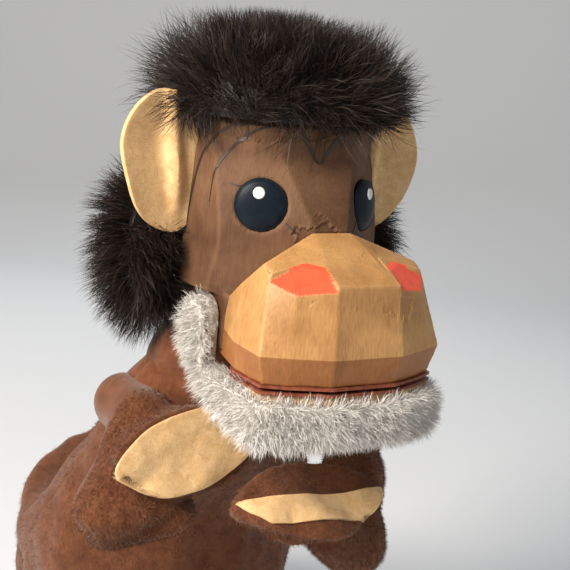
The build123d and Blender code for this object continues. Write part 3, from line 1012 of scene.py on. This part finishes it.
def palm(label, stuffed, centre, tilt, turn, rim):
    """Felt patch laid on a stuffed hand, its rim given in the palm's own plane."""
    t, s = math.radians(tilt), math.radians(turn)
    out = Vector((0, -math.cos(t), math.sin(t)))
    rise = Vector((0, math.sin(t), math.cos(t)))
    along = Vector((math.cos(s), 0, 0)) + rise * math.sin(s)
    upward = rise * math.cos(s) - Vector((math.sin(s), 0, 0))
    middle = at(*centre)

    def on_hand(x, z):
        p = middle + along * (x / 1000) + upward * (z / 1000)
        hit, spot = stuffed.ray_cast(p + out * 0.005, -out, distance=0.020)[:2]
        ripple = 0.0005 * noise.noise(p * 120)
        return (spot if hit else p - out * 0.001) + out * (0.0009 + ripple)

    patch = flat_felt(f"{label}_felt_palm", rim, on_hand, PALM_THICKNESS, FELT, rings=20)
    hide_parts(f"{label}_palm")
    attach(patch, f"{label}_arm")
    return patch


# middle of each palm, how far it leans back and how far it is turned in its own plane
HANDS = {"right": ((-50, -35, -123), 8, 0), "left": ((17, -17.8, -150), 48, -6)}
for side, label in SIDES:
    centre, tilt, turn = HANDS[label]
    stuffed = arm(side, label)
    rim = closed_curve(LEAF, 96)
    if label == "left":       # its upper half is lost in the bend of the cloth
        rim[:, 1] = np.clip(rim[:, 1], -15.0, 1.0 + 0.03 * rim[:, 0])
    else:                     # glued on a little askew
        rim[:, 1] += 0.16 * rim[:, 0]
    palm(label, stuffed, centre, tilt, turn, rim)
    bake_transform(stuffed)
print("arms made")

# %% [markdown]
# Brushed fleece has a fuzzy edge, so a thin coat of very short fibres stands off the cloth
# wherever it moves with one body only.

# %% nap on the cloth
def nap(name, obj, count, keep, body):
    """Short brushed fibres standing off the fleece."""
    spots, up = pelt_points(obj, count, keep)
    lean = up + np.array([0, 0, -0.5]) + RANDOM.normal(0, 0.55, up.shape)
    strands(name, spots, lean, RANDOM.uniform(0.0012, 0.0030, len(spots)), 0.00022, 0.1, 0.5, 0.2,
            BROWN_PILE, body, levels=2)


def lower_glove(p, n):
    return head_local(p)[:, 2] < -118


def free_arm(p, n):
    """The part of an arm that moves wholly with it, clear of the shoulder."""
    return head_local(p)[:, 1] > -62


nap("glove_nap", glove, 70000, lower_glove, "torso")
for label in ("right", "left"):
    nap(f"{label}_arm_nap", bpy.data.objects[f"{label}_stuffed_arm"], 42000, free_arm, f"{label}_arm")


# %% [markdown]
# ## Jaw, lips and pins
# These solids already have their real shape, so they keep it and gain rounded edges and
# their finishes. The lips are two layers of leather that meet when the mouth is shut.

# %% kept solids
def finish_solid(label, mat, edge):
    """Give a kept solid its finish and softened edges."""
    solid = NODES[label]
    if not solid.material_slots:
        solid.data.materials.append(mat)
    for slot in solid.material_slots:
        slot.link = "OBJECT"
        slot.material = mat
    worn = solid.modifiers.new("worn_edge", "BEVEL")
    worn.width, worn.segments, worn.limit_method = edge, 2, "ANGLE"
    worn.angle_limit = math.radians(30)


finish_solid("jaw", JAW_WOOD, 0.0007)
finish_solid("upper_lip_leather", LEATHER, 0.0004)
finish_solid("lower_lip_leather", LEATHER, 0.0004)
finish_solid("hinge_pins", JAW_WOOD, 0.0003)
finish_solid("neck_collar", FLEECE, 0.0005)
print("solids finished")


# %% [markdown]
# ## Floor, light and camera
# A pale sweep of paper, level under the puppet and bent up behind it, leaves no horizon. A
# warm window from the viewer's left and a weak fill make each knife facet show.

# %% stage
def area_light(name, spot, target, size, energy, colour):
    """Square lamp at a spot, turned to its target."""
    lamp = bpy.data.lights.new(name, "AREA")
    lamp.size, lamp.energy, lamp.color = size, energy, colour
    made = bpy.data.objects.new(name, lamp)
    bpy.context.scene.collection.objects.link(made)
    made.location = spot
    made.rotation_euler = (Vector(target) - Vector(spot)).to_track_quat("-Z", "Y").to_euler()


FLOOR_Z, BEND_START, BEND_RADIUS, HALF_WIDTH = -0.072, 1.3, 0.9, 5.0
AWAY, ACROSS = Vector((0.53, 0.848, 0)), Vector((0.848, -0.53, 0))
profile = [(-4.0, FLOOR_Z)]
profile += [(BEND_START + BEND_RADIUS * math.sin(t), FLOOR_Z + BEND_RADIUS * (1 - math.cos(t)))
            for t in np.linspace(0, math.pi / 2, 24)]
profile.append((BEND_START + BEND_RADIUS, 4.0))
sweep_points = [AWAY * run + ACROSS * side + Vector((0, 0, rise))
                for run, rise in profile for side in (-HALF_WIDTH, HALF_WIDTH)]
sweep_faces = [(k, k + 1, k + 3, k + 2) for k in range(0, 2 * len(profile) - 2, 2)]
floor_mesh = bpy.data.meshes.new("pale_floor")
floor_mesh.from_pydata(sweep_points, [], sweep_faces)
for face in floor_mesh.polygons:
    face.use_smooth = True
floor_mat, _, floor_shader = material("pale_floor", 0.9, specular=0.1)
floor_shader.inputs["Base Color"].default_value = (0.70, 0.71, 0.725, 1)
new_object("pale_floor", floor_mesh, floor_mat)

world = bpy.data.worlds.new("studio")
bpy.context.scene.world = world
world.use_nodes = True
world.node_tree.nodes["Background"].inputs[0].default_value = (0.62, 0.635, 0.65, 1)
world.node_tree.nodes["Background"].inputs[1].default_value = 0.54

HEAD = (0.0, -0.16, 0.27)
area_light("window", (-1.15, -0.45, 0.95), HEAD, 0.55, 40, (1.0, 0.93, 0.84))
area_light("fill", (0.9, -1.3, 0.6), HEAD, 1.2, 2, (0.90, 0.95, 1.0))
area_light("back", (0.5, 1.1, 1.0), HEAD, 0.8, 7, (0.95, 0.97, 1.0))

# %% [markdown]
# The camera is close and a little above the nose, turned to the puppet's right, so the muzzle
# looms towards the viewer.

# %% camera
YAW, RISE, ROLL = math.radians(-32), math.radians(12), math.radians(5.5)
DISTANCE, SHIFT_X, SHIFT_Y, FOCUS = 0.620, 0.02332, 0.026623, 78.3
back = Vector((math.sin(YAW) * math.cos(RISE), -math.cos(YAW) * math.cos(RISE), math.sin(RISE)))
level_right = Vector((math.cos(YAW), math.sin(YAW), 0))
level_up = back.cross(level_right)
cam_right = level_right * math.cos(ROLL) + level_up * math.sin(ROLL)
cam_up = level_up * math.cos(ROLL) - level_right * math.sin(ROLL)
spot = Vector((0, NOSE_Y, NOSE_Z)) + back * DISTANCE - cam_right * SHIFT_X - cam_up * SHIFT_Y
camera_data = bpy.data.cameras.new("camera")
camera_data.lens, camera_data.sensor_width = FOCUS, 36.0
camera = bpy.data.objects.new("camera", camera_data)
bpy.context.scene.collection.objects.link(camera)
camera.matrix_world = Matrix.Translation(spot) @ Matrix((cam_right, cam_up, back)).transposed().to_4x4()
bpy.context.scene.camera = camera
bpy.context.scene.view_settings.view_transform = "Standard"
